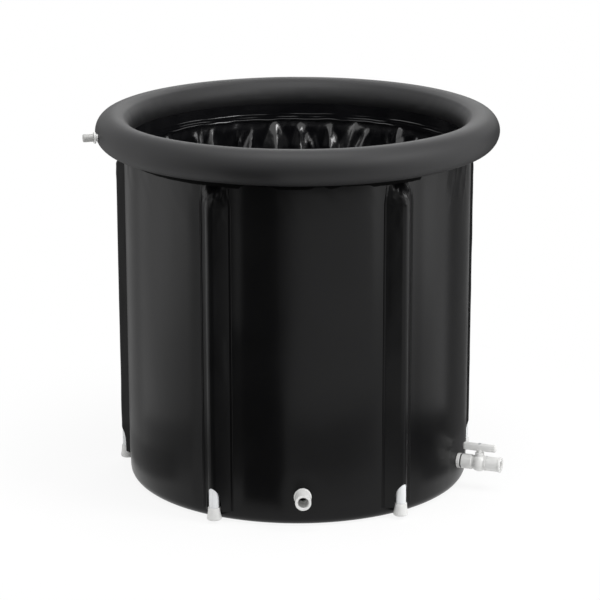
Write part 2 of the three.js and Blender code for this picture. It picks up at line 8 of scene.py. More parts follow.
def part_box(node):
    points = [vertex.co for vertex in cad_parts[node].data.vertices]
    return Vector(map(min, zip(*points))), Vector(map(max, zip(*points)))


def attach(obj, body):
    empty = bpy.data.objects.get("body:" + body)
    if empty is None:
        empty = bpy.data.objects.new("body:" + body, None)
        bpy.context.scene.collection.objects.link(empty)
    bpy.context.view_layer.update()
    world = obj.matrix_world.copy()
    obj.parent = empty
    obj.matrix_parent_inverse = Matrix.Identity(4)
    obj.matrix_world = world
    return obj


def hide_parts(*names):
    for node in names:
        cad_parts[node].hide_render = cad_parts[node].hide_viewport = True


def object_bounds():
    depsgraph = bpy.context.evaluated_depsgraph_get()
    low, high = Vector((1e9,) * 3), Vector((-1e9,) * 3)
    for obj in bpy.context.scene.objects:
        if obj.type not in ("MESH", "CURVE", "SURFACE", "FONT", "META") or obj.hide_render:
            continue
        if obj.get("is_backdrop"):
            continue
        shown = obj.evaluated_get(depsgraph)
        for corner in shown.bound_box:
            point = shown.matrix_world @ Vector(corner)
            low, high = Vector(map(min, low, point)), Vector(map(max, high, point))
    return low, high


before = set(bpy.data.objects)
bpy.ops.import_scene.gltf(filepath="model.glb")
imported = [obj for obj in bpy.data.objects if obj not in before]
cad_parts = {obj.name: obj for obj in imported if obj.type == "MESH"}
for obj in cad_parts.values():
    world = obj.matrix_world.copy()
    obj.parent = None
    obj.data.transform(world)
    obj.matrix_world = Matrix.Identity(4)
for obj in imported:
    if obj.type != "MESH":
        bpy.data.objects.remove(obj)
cadLow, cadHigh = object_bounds()
mm = 0.001
tau = 2 * math.pi
meetGap = 0.001  # rings of vertices closer than this become one, mm

# sizes that several pieces share, in millimetres, read off the frame
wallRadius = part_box("outer_wall")[1].x / mm
ringLow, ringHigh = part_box("inflatable_ring")
tubeRadius = (ringHigh.z - ringLow.z) / 2 / mm
ringRadius = ringHigh.x / mm - tubeRadius  # to the middle of the air tube
ringHeight = ringHigh.z / mm - tubeRadius
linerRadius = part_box("inner_liner")[1].x / mm
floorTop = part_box("liner_floor")[1].z / mm
supportCount = sum(name.startswith("rod_foot_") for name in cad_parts)


def angleOf(node):  # round the tub from the front, towards +X
    low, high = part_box(node)
    return math.atan2(low.x + high.x, -low.y - high.y)


def distanceOf(node):  # from the tub's axis to the node's middle, mm
    low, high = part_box(node)
    return math.hypot(low.x + high.x, low.y + high.y) / 2 / mm


def heightOf(node):  # of the node's middle above the ground, mm
    return sum(corner.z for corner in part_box(node)) / 2 / mm


supportAngles = [angleOf(f"rod_foot_{n + 1}") for n in range(supportCount)]
rodOut = distanceOf("rod_foot_1") - wallRadius  # the rods' axes, out from the wall's face
spoutAngle, spoutHeight = angleOf("spout_gasket"), heightOf("spout_gasket")
tapAngle, tapHeight = angleOf("tap_gasket"), heightOf("tap_gasket")
valveAngle = angleOf("air_valve_cap")


def underRing(radius):  # height of the ring's underside at a distance from the axis
    return ringHeight - math.sqrt(tubeRadius ** 2 - (ringRadius - radius) ** 2)


def ease(value, start, end):  # 0 before start, 1 after end, smooth between
    t = min(1, max(0, (value - start) / (end - start)))
    return t * t * (3 - 2 * t)


def wobble(x, y, seed=0):  # smooth noise about 0
    return noise.noise(Vector((x, y, 7.3 * seed + 0.5)))


def ripple(along, up, pitch, seed=0):  # the same over a surface, with its pitch along and up
    return wobble(along / pitch[0], up / pitch[1], seed)


def turnAway(first, second):  # smaller angle between two directions
    return abs((first - second + math.pi) % tau - math.pi)


def around(point):  # angle round the tub and distance from its axis, mm
    return math.atan2(point.x, -point.y), math.hypot(point.x, point.y) / mm


def roomAtFittings(angle, height, radius, room):  # 0 at spout and tap, 1 well away from them
    return min(ease(math.hypot(turnAway(angle, spot) * radius, height - level), *room)
               for spot, level in ((spoutAngle, spoutHeight), (tapAngle, tapHeight)))


def pushOut(vertex, radius, amount):  # away from the tub's axis, mm
    vertex.co.x *= 1 + amount / radius
    vertex.co.y *= 1 + amount / radius


def deselectAll():
    bpy.ops.object.select_all(action="DESELECT")


def pick(piece):
    deselectAll()
    piece.select_set(True)
    bpy.context.view_layer.objects.active = piece


def setMode(mode):
    bpy.ops.object.mode_set(mode=mode)


def applyPlace():  # of the picked object, into its mesh
    bpy.ops.object.transform_apply(location=True, rotation=True, scale=True)


def nameNew(name):  # the object that was just added
    piece = bpy.context.object
    piece.name = name
    piece.data.name = name
    return piece


def turnPiece(name, outline, segments, fillEnds=False):  # outline is (radius, height) in mm
    deselectAll()
    radius, height = outline[0]
    bpy.ops.mesh.primitive_circle_add(vertices=segments, radius=radius * mm, location=(0, 0, height * mm))
    piece = nameNew(name)
    applyPlace()
    setMode("EDIT")
    bpy.ops.mesh.select_all(action="SELECT")
    for nextRadius, nextHeight in outline[1:]:
        lift = (0, 0, (nextHeight - height) * mm)
        bpy.ops.mesh.extrude_region_move(TRANSFORM_OT_translate={"value": lift})
        grow = nextRadius / radius
        bpy.ops.transform.resize(value=(grow, grow, 1), center_override=(0, 0, 0))
        radius, height = nextRadius, nextHeight
    bpy.ops.mesh.select_all(action="SELECT")
    bpy.ops.mesh.remove_doubles(threshold=meetGap * mm)
    if fillEnds:
        bpy.ops.mesh.fill_holes(sides=0)
    bpy.ops.mesh.normals_make_consistent(inside=False)
    setMode("OBJECT")
    return piece


def arcPoints(centre, radius, start, end, steps):
    points = []
    for step in range(steps + 1):
        turn = math.radians(start + (end - start) * step / steps)
        points.append((centre[0] + radius * math.cos(turn), centre[1] + radius * math.sin(turn)))
    return points


def tubeOutline(inner, outer, low, high, chamfer=0):
    side = [(outer, low), (outer, high)]
    if chamfer:
        side = [(outer - chamfer, low), (outer, low + chamfer), (outer, high - chamfer), (outer - chamfer, high)]
    return [(inner, low), *side, (inner, high), (inner, low)]


def turnInsideOut(piece):  # for film that is seen from inside the tub
    pick(piece)
    setMode("EDIT")
    bpy.ops.mesh.select_all(action="SELECT")
    bpy.ops.mesh.flip_normals()
    setMode("OBJECT")


def modify(piece, kind, settings):
    pick(piece)
    modifier = piece.modifiers.new(kind.title(), kind)
    for key, value in settings.items():
        setattr(modifier, key, value)
    bpy.ops.object.modifier_apply(modifier=modifier.name)


def thicken(piece, thickness, offset=-1):  # a sheet gets its thickness, inwards by default
    modify(piece, "SOLIDIFY", {"thickness": thickness * mm, "offset": offset})


def softenEdges(piece, width, steps=2, angle=40):
    modify(piece, "BEVEL", {"width": width * mm, "segments": steps, "limit_method": "ANGLE",
                            "angle_limit": math.radians(angle)})


def unite(piece, other):  # welds two solids into one skin
    modify(piece, "BOOLEAN", {"operation": "UNION", "solver": "EXACT", "object": other})
    bpy.data.objects.remove(other)


def place(piece, turn, angle, radius, height):
    pick(piece)
    piece.rotation_euler = (turn, 0, angle)
    piece.location = (radius * math.sin(angle) * mm, -radius * math.cos(angle) * mm, height * mm)
    applyPlace()


def placeOut(piece, angle, radius, height):  # own Z turns to point out of the tub, own Y points up
    place(piece, math.pi / 2, angle, radius, height)


def placeUp(piece, angle, radius, height=0):  # own Z stays upright, own -Y points out of the tub
    place(piece, 0, angle, radius, height)


def settle(piece, body, material, slotName, *nodes, smooth=35):
    pick(piece)
    bpy.ops.object.shade_smooth_by_angle(angle=math.radians(smooth))
    piece.data.materials.clear()
    piece.data.materials.append(material)
    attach(piece, body)
    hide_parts(*nodes)


def hexColour(code):  # sRGB hex to linear
    levels = [int(code[i:i + 2], 16) / 255 for i in (1, 3, 5)]
    linear = [v / 12.92 if v <= 0.04045 else ((v + 0.055) / 1.055) ** 2.4 for v in levels]
    return (*linear, 1)


def addNode(tree, kind, settings=None, links=None):
    node = tree.nodes.new(kind)
    for key, value in (settings or {}).items():
        if key in node.inputs:
            node.inputs[key].default_value = value
        else:
            setattr(node, key, value)
    for socket, source in (links or {}).items():
        tree.links.new(source, node.inputs[socket])
    return node


def perMetre(size):  # texture scale for a pattern that repeats about every so many mm
    return 1 / (size * mm)


def addTexture(tree, where, texture):  # cells or soft patches, sized in mm
    if "cell" in texture:
        cells = addNode(tree, "ShaderNodeTexVoronoi", {"Scale": perMetre(texture["cell"])}, {"Vector": where})
        return cells.outputs["Distance"]
    settings = {"Scale": perMetre(texture["patch"]), "Detail": texture["detail"]}
    return addNode(tree, "ShaderNodeTexNoise", settings, {"Vector": where}).outputs["Fac"]


def addBumps(tree, where, bumps):  # relief in layers, each on the one before it, depth in mm
    normal = None
    for bump in bumps:
        links = {"Height": addTexture(tree, where, bump)}
        if normal is not None:
            links["Normal"] = normal
        settings = {"Strength": bump["strength"], "Distance": bump["depth"] * mm}
        normal = addNode(tree, "ShaderNodeBump", settings, links).outputs["Normal"]
    return normal


def makeMaterial(name, basics, look):  # two shades over a texture, and as the look says uneven gloss and relief
    material = bpy.data.materials.new(name)
    material.use_nodes = True
    tree = material.node_tree
    shader = tree.nodes["Principled BSDF"]
    for key, value in basics.items():
        shader.inputs[key].default_value = value
    where = addNode(tree, "ShaderNodeTexCoord").outputs["Object"]
    if "stretch" in look:
        where = addNode(tree, "ShaderNodeMapping", {"Scale": look["stretch"]}, {"Vector": where}).outputs["Vector"]
    share = addTexture(tree, where, look["texture"])
    tint = addNode(tree, "ShaderNodeMix", {"data_type": "RGBA"}, {"Factor": share})
    tint.inputs["A"].default_value = hexColour(look["dark"])
    tint.inputs["B"].default_value = hexColour(look["light"])
    tree.links.new(tint.outputs["Result"], shader.inputs["Base Color"])
    if "gloss" in look:
        low, high = look["gloss"]
        gloss = addNode(tree, "ShaderNodeMapRange", {"To Min": low, "To Max": high}, {"Value": share})
        tree.links.new(gloss.outputs["Result"], shader.inputs["Roughness"])
    if "bumps" in look:
        tree.links.new(addBumps(tree, where, look["bumps"]), shader.inputs["Normal"])
    return material


# calendered PVC sheet, satin: near black, with a broad soft sheen and a faint emboss
wallPvc = {"dark": "#050506", "light": "#0b0b0c", "texture": {"patch": 90, "detail": 3}, "gloss": (0.26, 0.36),
           "bumps": ({"patch": 2.6, "detail": 2, "strength": 0.06, "depth": 0.3},  # coarser than real, to show
                     {"patch": 45, "detail": 2, "strength": 0.2, "depth": 1.2})}
satinSheet = makeMaterial("satin_black_pvc_sheet", {"IOR": 1.5, "Specular IOR Level": 0.22}, wallPvc)

# thicker PVC of the ring, matt: dark grey, no clear reflection, fine leather-like emboss
ringPvc = {"dark": "#1c1c1d", "light": "#222223", "texture": {"patch": 120, "detail": 4}, "gloss": (0.5, 0.62),
           "bumps": ({"cell": 3, "strength": 0.08, "depth": 0.4},)}
mattSkin = makeMaterial("matt_grey_pvc_skin", {"IOR": 1.5, "Specular IOR Level": 0.32}, ringPvc)

# seam tape of ring and wall: the tape is real, but its near-black dull finish is painted shade for the shadow
# under the ring, so that the seam reads as a dark line
seamShadeTape = {"dark": "#030303", "light": "#070707", "texture": {"patch": 12, "detail": 3}, "gloss": (0.6, 0.75)}
shadedSeamTape = makeMaterial("seam_tape_painted_shade", {"IOR": 1.45, "Specular IOR Level": 0.05}, seamShadeTape)

# thin glossy PVC film of the liner: black, wet-looking, sharp bright highlights on its folds
linerPvc = {"dark": "#08080a", "light": "#101012", "texture": {"patch": 70, "detail": 3}, "gloss": (0.14, 0.22),
            "bumps": ({"patch": 18, "detail": 3, "strength": 0.3, "depth": 1.5},)}
glossFilm = makeMaterial("glossy_black_pvc_film", {"IOR": 1.53, "Specular IOR Level": 0.8}, linerPvc)

# injection-moulded ABS: clean white, soft gloss, a trace of flow unevenness and grime in its roughness
mouldedAbs = {"dark": "#dadad8", "light": "#e6e6e5", "texture": {"patch": 14, "detail": 4}, "gloss": (0.3, 0.44),
              "bumps": ({"patch": 1.2, "detail": 2, "strength": 0.04, "depth": 0.2},)}
whiteAbs = makeMaterial("moulded_white_abs", {"IOR": 1.53}, mouldedAbs)

# softer PVC of the valve's cap: the same moulded surface as the white, but a light grey that is painted shade on a
# white cap
capShadedAbs = {"dark": "#9c9c9a", "light": "#adadab", "texture": {"patch": 10, "detail": 4}, "gloss": (0.3, 0.44),
          "bumps": ({"patch": 1, "detail": 2, "strength": 0.04, "depth": 0.2},)}
shadedCap = makeMaterial("moulded_white_painted_shade", {"IOR": 1.53}, capShadedAbs)

# extruded uPVC pipe: bluish white, glossier, faint draw lines along its length
pipeUpvc = {"dark": "#e4e6e7", "light": "#f1f3f4", "texture": {"patch": 1.5, "detail": 2}, "gloss": (0.24, 0.36),
            "stretch": (1, 1, 0.02)}
whitePipe = makeMaterial("extruded_white_upvc", {"IOR": 1.53}, pipeUpvc)

# moulded EPDM rubber: matt black with a dusty bloom
epdm = {"dark": "#0c0c0c", "light": "#1b1b1c", "texture": {"patch": 6, "detail": 5}, "gloss": (0.6, 0.8)}
blackRubber = makeMaterial("moulded_black_epdm", {"IOR": 1.5, "Specular IOR Level": 0.35}, epdm)

# cross-linked PE foam: grey, dull, closed cells that show as a fine pebble
peFoam = {"dark": "#7d8286", "light": "#9aa0a4", "texture": {"cell": 2.2},
          "bumps": ({"cell": 2.2, "strength": 0.4, "depth": 0.5},)}
greyFoam = makeMaterial("grey_pe_foam", {"Specular IOR Level": 0.25, "Roughness": 0.9}, peFoam)

# skived PTFE of the ball's seats: waxy off-white, slightly mottled
ptfe = {"dark": "#d6d3c8", "light": "#e6e4db", "texture": {"patch": 3, "detail": 3}}
seatPlastic = makeMaterial("skived_ptfe", {"IOR": 1.36, "Roughness": 0.5}, ptfe)

# cold-headed stainless steel of the lever's screw: bright grey, faintly streaked
stainless = {"dark": "#a9adb1", "light": "#c4c7ca", "texture": {"patch": 0.6, "detail": 3}, "gloss": (0.22, 0.38)}
screwSteel = makeMaterial("cold_headed_stainless", {"Metallic": 1}, stainless)
print("materials ready")

wallSkin = {"columns": 432, "rows": 62, "thickness": 1.2, "corner": 18, "cornerSteps": 6, "turnIn": 30,
            "calmFoot": 60, "calmTop": 26, "pocketRoom": (36, 62), "fittingRoom": (24, 60),
            "swell": 2.2, "swellMean": 0.5, "swellShare": 0.9, "swellPitch": (150, 520),
            "tuck": 1.1, "tuckPitch": (26, 90), "tuckSlant": 0.55, "tuckReach": (130, 20),
            "gather": 1.9, "gatherWidth": 3.6, "gatherSlant": 0.0011, "gatherReach": (130, 25),
            "gathers": ((52, 0.5), (58, 0.7), (64, 1), (69, 0.8), (75, 1), (-72, 0.6), (-60, 0.4), (118, 0.7),
                        (-150, 0.8)),  # degrees round the tub, and depth
            "sag": 0.7, "sagPitch": (70, 40), "sagTop": 100, "sagFade": 60}


def roomAtPockets(angle):  # 0 where a pocket lies on the wall, 1 well away from it
    return min(ease(turnAway(angle, support) * wallRadius, *wallSkin["pocketRoom"]) for support in supportAngles)


def wallGather(angle, height, top):  # slanting creases that run down from the ring's seam
    longest, end = wallSkin["gatherReach"]
    gather = 0
    for spot, depth in wallSkin["gathers"]:
        lies = math.radians(spot) - wallSkin["gatherSlant"] * (top - height)
        off = turnAway(angle, lies) * wallRadius / wallSkin["gatherWidth"]
        reach = ease(height, top - longest * depth, top - end)
        gather += wallSkin["gather"] * depth * math.exp(-off * off) * reach
    return gather


def makeWallSkin():
    corner, rows = wallSkin["corner"], wallSkin["rows"]
    top = underRing(wallRadius)
    outline = [(wallRadius - wallSkin["turnIn"], 0)]
    outline += arcPoints((wallRadius - corner, corner), corner, -90, 0, wallSkin["cornerSteps"])
    outline += [(wallRadius, corner + (top - corner) * (row + 1) / rows) for row in range(rows)]
    piece = turnPiece("wall_skin", outline, wallSkin["columns"])
    tuckFrom, tuckTo = (top - reach for reach in wallSkin["tuckReach"])
    for vertex in piece.data.vertices:
        angle, radius = around(vertex.co)
        height = vertex.co.z / mm
        along = angle * wallRadius
        inward = ease(height, 0, wallSkin["calmFoot"]) * ease(top - height, 0, wallSkin["calmTop"])
        free = min(roomAtPockets(angle), roomAtFittings(angle, height, wallRadius, wallSkin["fittingRoom"]))
        wave = wallSkin["swellShare"] * ripple(along, height, wallSkin["swellPitch"])
        swell = wallSkin["swell"] * (wallSkin["swellMean"] + wave)
        slanted = along + wallSkin["tuckSlant"] * height
        tuck = wallSkin["tuck"] * ripple(slanted, height, wallSkin["tuckPitch"], 1)
        tuck *= ease(height, tuckFrom, tuckTo)
        sag = wallSkin["sag"] * ripple(along, height, wallSkin["sagPitch"], 2)
        sag *= ease(wallSkin["sagTop"] - height, 0, wallSkin["sagFade"])
        pushOut(vertex, radius, free * inward * max(0, swell + tuck + sag + wallGather(angle, height, top)))
    thicken(piece, wallSkin["thickness"])
    settle(piece, "tub", satinSheet, "wall_sheet", "outer_wall", smooth=60)


makeWallSkin()
print("wall skin done")

innerLayers = {"foamOuter": 342.6, "foamInner": 340, "foamBottom": 20, "foamGap": 1, "foamEdge": 0.5,
               "baseRadius": 314.7, "baseFoam": 326.7, "discEdge": 0.3, "segments": 180}


def makeInnerLayers():
    outer, inner, bottom = innerLayers["foamOuter"], innerLayers["foamInner"], innerLayers["foamBottom"]
    top = underRing(outer) - innerLayers["foamGap"]
    tube = turnPiece("wall_foam", tubeOutline(inner, outer, bottom, top), innerLayers["segments"])
    softenEdges(tube, innerLayers["foamEdge"])
    settle(tube, "tub", greyFoam, "foam", "wall_insulation")
    for name, node, radius, material, slotName in (
        ("base_skin", "base_sheet", innerLayers["baseRadius"], satinSheet, "wall_sheet"),
        ("base_foam", "base_insulation", innerLayers["baseFoam"], greyFoam, "foam"),
    ):
        low, high = (corner.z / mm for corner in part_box(node))
        disc = turnPiece(name, [(radius, low), (radius, high)], innerLayers["segments"], fillEnds=True)
        softenEdges(disc, innerLayers["discEdge"])
        settle(disc, "tub", material, slotName, node)


makeInnerLayers()
print("foam and base done")

ringSkin = {"around": 360, "across": 64, "pucker": 1.1, "puckerPitch": (17, 60), "puckerFrom": 0.35, "sway": 0.35,
            "swayPitch": (160, 50), "seam": 0.7, "seamWidth": 3, "seamAt": 128}  # pitches are mm and degrees


def makeRingSkin():
    deselectAll()
    bpy.ops.mesh.primitive_torus_add(
        major_segments=ringSkin["around"], minor_segments=ringSkin["across"],
        major_radius=ringRadius * mm, minor_radius=tubeRadius * mm, location=(0, 0, ringHeight * mm))
    piece = nameNew("ring_tube")
    applyPlace()
    for vertex in piece.data.vertices:
        angle, radius = around(vertex.co)
        along = angle * ringRadius
        out, up = radius - ringRadius, vertex.co.z / mm - ringHeight
        turn = math.degrees(math.atan2(up, out))  # 0 outside, 90 on top, 180 inside
        inside = ease(-out, ringSkin["puckerFrom"] * tubeRadius, tubeRadius)
        dent = inside * ringSkin["pucker"] * min(0, ripple(along, turn, ringSkin["puckerPitch"], 3))
        dent += ringSkin["sway"] * ripple(along, turn, ringSkin["swayPitch"], 4) - ringSkin["sway"]
        off = (abs(turn) - ringSkin["seamAt"]) / 180 * math.pi * tubeRadius
        dent += ringSkin["seam"] * math.exp(-(off / ringSkin["seamWidth"]) ** 2) * (turn > 0)
        newRadius = ringRadius + out * (1 + dent / tubeRadius)
        vertex.co.x *= newRadius / radius
        vertex.co.y *= newRadius / radius
        vertex.co.z = (ringHeight + up * (1 + dent / tubeRadius)) * mm
    settle(piece, "tub", mattSkin, "ring_sheet", "inflatable_ring", smooth=60)


makeRingSkin()
print("ring done")

bandSkin = {"columns": 480, "rows": 6, "height": 21, "thickness": 0.8, "standOff": 1.3, "gap": 0.2, "crinkle": 0.9,
            "crinkleMean": 0.5, "crinklePitch": (9, 12),
            "drops": ((1.1, 30, 6), (0.9, 6, 26))}  # unevenness of the lower edge: size, pitch, seed


def makeBandSkin():
    radius, rows = wallRadius + bandSkin["standOff"], bandSkin["rows"]
    top = underRing(radius) - bandSkin["gap"]
    levels = [top - bandSkin["height"] * (1 - step / rows) for step in range(rows + 1)]
    piece = turnPiece("weld_band_skin", [(radius, level) for level in levels], bandSkin["columns"])
    for vertex in piece.data.vertices:
        angle, distance = around(vertex.co)
        height = vertex.co.z / mm
        along = angle * radius
        share = (height - levels[0]) / bandSkin["height"]
        wave = bandSkin["crinkleMean"] + ripple(along, height, bandSkin["crinklePitch"], 5)
        pushOut(vertex, distance, max(0, bandSkin["crinkle"] * wave * share))
        drop = sum(size * wobble(along / pitch, 0, seed) for size, pitch, seed in bandSkin["drops"])
        vertex.co.z += drop * (1 - share) * mm
    thicken(piece, bandSkin["thickness"])
    # the band gets the seam tape's painted shade: near black, standing for the shadow under the ring
    settle(piece, "tub", shadedSeamTape, "wall_sheet", "ring_weld_band", smooth=60)


makeBandSkin()
print("weld band done")

linerSkin = {"columns": 720, "rows": 66, "crowding": 1.7, "thickness": 0.8, "gap": 0.4, "inset": 0.2,
             "fullness": 1.18, "foot": 90, "footRamp": 90, "hem": 37, "edge": 5, "edgePitch": 26,
             "crumple": 1.5, "crumplePitch": (9, 26), "crumpleSlant": 30, "crumpleFade": 14,
             "slack": 0.5, "slackPitch": (50, 60), "slackFrom": (12, 60), "fittingRoom": (26, 55)}
pleatPlan = {"seed": 11, "scatter": 0.45, "lean": 0.001, "leanReach": 90, "sharp": (0.8, 1.5), "lip": 0.15,
             "lipReach": 2.5, "drift": 0.05, "driftPitch": 260, "driftTurn": 3, "point": 0.2, "pointReach": 45,
             "kinds": ({"count": 34, "depth": (14, 26), "width": (16, 32), "start": (0, 14), "settled": 60},
                       {"count": 70, "depth": (5, 13), "width": (4, 9), "start": (0, 40), "settled": 34})}


def planPleats():  # where each fold hangs, how far it leans, how deep and wide it is and where it starts
    chance = random.Random(pleatPlan["seed"])
    scatter, lean = pleatPlan["scatter"], pleatPlan["lean"]
    pleats = []
    for kind in pleatPlan["kinds"]:
        for index in range(kind["count"]):
            pleats.append({
                "angle": (index + chance.uniform(-scatter, scatter)) / kind["count"] * tau - math.pi,
                "lean": chance.uniform(-lean, lean),
                "depth": chance.uniform(*kind["depth"]),
                "width": chance.uniform(*kind["width"]),
                "start": chance.uniform(*kind["start"]),
                "sharp": chance.uniform(*pleatPlan["sharp"]),
                "settled": kind["settled"]})
    return pleats


def pleatDepth(pleats, angle, height, top):
    lip, point = pleatPlan["lip"], pleatPlan["point"]
    depth = 0
    for pleat in pleats:
        below = top - pleat["start"] - height
        if below <= 0:
            continue
        grown = lip * (1 - math.exp(-below / pleatPlan["lipReach"]))
        grown += (1 - lip) * min(1, below / pleat["settled"])
        drift = pleat["lean"] * min(below, pleatPlan["leanReach"])
        drift += pleatPlan["drift"] * wobble(height / pleatPlan["driftPitch"],
                                             pleat["angle"] * pleatPlan["driftTurn"], 30)
        off = turnAway(angle, pleat["angle"] + drift) * linerRadius
        opened = min(1, below / pleatPlan["pointReach"])  # a fold starts as a point and opens downwards
        reach = pleat["width"] * (point + (1 - point) * opened)
        if off < reach:
            depth = max(depth, pleat["depth"] * grown * (1 - off / reach) ** pleat["sharp"])
    return depth


def makeLinerSkin():
    top = underRing(linerRadius) - linerSkin["gap"]
    hemBottom = top - linerSkin["hem"]
    bottom = floorTop + linerSkin["gap"]
    rows, crowding = linerSkin["rows"], linerSkin["crowding"]
    levels = [bottom + (top - bottom) * (1 - (1 - row / rows) ** crowding) for row in range(rows + 1)]
    outline = [(linerRadius - linerSkin["inset"], level) for level in levels]  # rows lie closer near the hem
    piece = turnPiece("liner_skin", outline, linerSkin["columns"])
    pleats = planPleats()
    alongPitch, upPitch = linerSkin["crumplePitch"]
    for vertex in piece.data.vertices:
        angle, radius = around(vertex.co)
        height = vertex.co.z / mm
        along = angle * radius
        grow = ease(height, linerSkin["foot"], linerSkin["foot"] + linerSkin["footRamp"])
        edge = hemBottom + linerSkin["edge"] * wobble(along / linerSkin["edgePitch"], 0, 7)
        depth = grow * pleatDepth(pleats, angle, height, edge)
        crumple = 1 + wobble(along / alongPitch + height / linerSkin["crumpleSlant"], height / upPitch, 10)
        depth += grow * ease(edge - height, 0, linerSkin["crumpleFade"]) * linerSkin["crumple"] * crumple
        free = roomAtFittings(angle, height, radius, linerSkin["fittingRoom"])
        slack = linerSkin["slack"] * (1 + ripple(along, height, linerSkin["slackPitch"], 11))
        depth = depth * free + slack * free * ease(height, *linerSkin["slackFrom"])
        pushOut(vertex, radius, -depth)
    turnInsideOut(piece)
    thicken(piece, linerSkin["thickness"], offset=1)
    settle(piece, "tub", glossFilm, "liner_sheet", "inner_liner", smooth=60)


makeLinerSkin()
print("liner done")

hemSkin = {"columns": 360, "rows": 74, "radius": 336.8, "thickness": 0.8, "gap": 0.4, "wave": 0.7,
           "wavePitch": (40, 60), "bead": 0.5, "beadsAt": (3, 8, 14), "beadWidth": 0.8, "beadMean": 0.6,
           "beadPitch": 45, "beadSway": 1.2, "beadSwayPitch": 60, "edge": 2.2, "edgePitch": 28,
           "edgeFrom": (16, 37)}


def makeHemSkin():
    top = underRing(hemSkin["radius"]) - hemSkin["gap"]
    rows = hemSkin["rows"]
    levels = [top - linerSkin["hem"] * (1 - row / rows) for row in range(rows + 1)]
    piece = turnPiece("hem_skin", [(hemSkin["radius"], level) for level in levels], hemSkin["columns"])
    for vertex in piece.data.vertices:
        angle, radius = around(vertex.co)
        height = vertex.co.z / mm
        along = angle * radius
        up = height - levels[0] + hemSkin["beadSway"] * wobble(along / hemSkin["beadSwayPitch"], 0, 12)
        wave = hemSkin["wave"] * (1 + ripple(along, height, hemSkin["wavePitch"], 13))
        for bead in hemSkin["beadsAt"]:  # weld lines, broken here and there
            raised = max(0, hemSkin["beadMean"] + wobble(along / hemSkin["beadPitch"], bead, 27))
            wave += hemSkin["bead"] * raised * math.exp(-((up - bead) / hemSkin["beadWidth"]) ** 2)
        pushOut(vertex, radius, -wave)
        drop = hemSkin["edge"] * wobble(along / hemSkin["edgePitch"], 0, 14)
        vertex.co.z += drop * ease(top - height, *hemSkin["edgeFrom"]) * mm
    turnInsideOut(piece)
    thicken(piece, hemSkin["thickness"])
    settle(piece, "tub", glossFilm, "liner_sheet", "liner_hem", smooth=60)


makeHemSkin()
print("hem done")

floorSkin = {"columns": 180, "rings": 34, "radius": 337, "thickness": 1, "edge": 30, "rimFace": 300, "ripple": 1.6,
             "ripplePitch": (75, 75), "rays": 0.5, "rayTurns": 5, "rayPitch": 120, "rayFrom": (90, 230)}


def makeFloorSkin():
    rings = floorSkin["rings"]
    steps = [floorSkin["radius"] * (1 - ring / (rings + 1)) for ring in range(rings + 1)]
    outline = [(step, floorTop) for step in steps]
    piece = turnPiece("liner_floor_skin", outline, floorSkin["columns"], fillEnds=True)
    setMode("EDIT")
    bpy.ops.mesh.select_all(action="DESELECT")
    setMode("OBJECT")
    for face in piece.data.polygons:  # fill_holes also closes the outer edge with one big face
        reach = max(around(piece.data.vertices[i].co)[1] for i in face.vertices)
        face.select = len(face.vertices) > 4 and reach > floorSkin["rimFace"]
    setMode("EDIT")
    bpy.ops.mesh.delete(type="ONLY_FACE")
    bpy.ops.mesh.select_all(action="SELECT")
    bpy.ops.mesh.normals_make_consistent(inside=False)
    setMode("OBJECT")
    for vertex in piece.data.vertices:
        angle, radius = around(vertex.co)
        inside = ease(floorSkin["radius"] - radius, 0, floorSkin["edge"])
        rays = floorSkin["rays"] * wobble(angle * floorSkin["rayTurns"], radius / floorSkin["rayPitch"], 16)
        wave = ripple(vertex.co.x / mm, vertex.co.y / mm, floorSkin["ripplePitch"], 15)
        wave += rays * ease(radius, *floorSkin["rayFrom"])
        vertex.co.z += inside * floorSkin["ripple"] * max(0, wave) * mm
    if piece.data.polygons[0].normal.z < 0:
        piece.data.flip_normals()
    thicken(piece, floorSkin["thickness"])
    settle(piece, "tub", glossFilm, "liner_sheet", "liner_floor", smooth=60)


makeFloorSkin()
print("liner floor done")

sleeve = {"width": 68, "girth": 89, "weld": 5, "thickness": 1, "gap": 0.3, "pipe": 10.3, "shoulder": 630,
          "roofTop": 667, "archTop": 72, "archFoot": 34, "archHalf": 16, "foot": 22, "rows": 84, "roofRows": 16,
          "sideSteps": 16, "ridgeSteps": 12, "weldSteps": 8, "bead": 0.55, "edgeTuck": 0.9, "loose": (1.5, 8),
          "slack": 0.9, "slackPitch": (20, 70), "crumple": 1.2, "crumplePitch": (8, 22), "crumpleFrom": (560, 630),
          "pucker": 3.6, "puckerPitch": 6, "puckerTurns": 3, "puckerLeast": -0.6, "roofBend": 1.7,
          "roofTaper": 0.15, "ragged": 2, "raggedPitch": 10, "meetGap": 0.05}
sleeve["outer"] = sleeve["pipe"] + sleeve["thickness"]


def onWall(across):  # the wall's face with the sleeve's sheet on it, out from the wall
    return math.sqrt(wallRadius ** 2 - across ** 2) - wallRadius + sleeve["gap"] + sleeve["thickness"]


def sleeveSection():  # (across, out) from one welded edge to the other
    half, outer = sleeve["width"] / 2, sleeve["outer"]
    foot = half - sleeve["weld"]
    rise = rodOut - onWall(foot)
    slope = math.atan2(rise, foot) + math.asin(outer / math.hypot(foot, rise))
    touch = (-outer * math.sin(slope), rodOut + outer * math.cos(slope))
    points = []
    for step in range(sleeve["weldSteps"]):
        across = -half + sleeve["weld"] * step / sleeve["weldSteps"]
        bead = sleeve["bead"] * math.sin(step / sleeve["weldSteps"] * tau) ** 2  # two weld lines in each strip
        points.append((across, onWall(across) - sleeve["edgeTuck"] * (step == 0) + bead))
    for step in range(sleeve["sideSteps"]):
        share = step / sleeve["sideSteps"]
        points.append((-foot + (touch[0] + foot) * share, onWall(foot) + (touch[1] - onWall(foot)) * share))
    lean = math.degrees(slope)
    ridge = arcPoints((0, rodOut), outer, 90 + lean, 90 - lean, sleeve["ridgeSteps"])
    return points + ridge + [(-across, out) for across, out in reversed(points)]


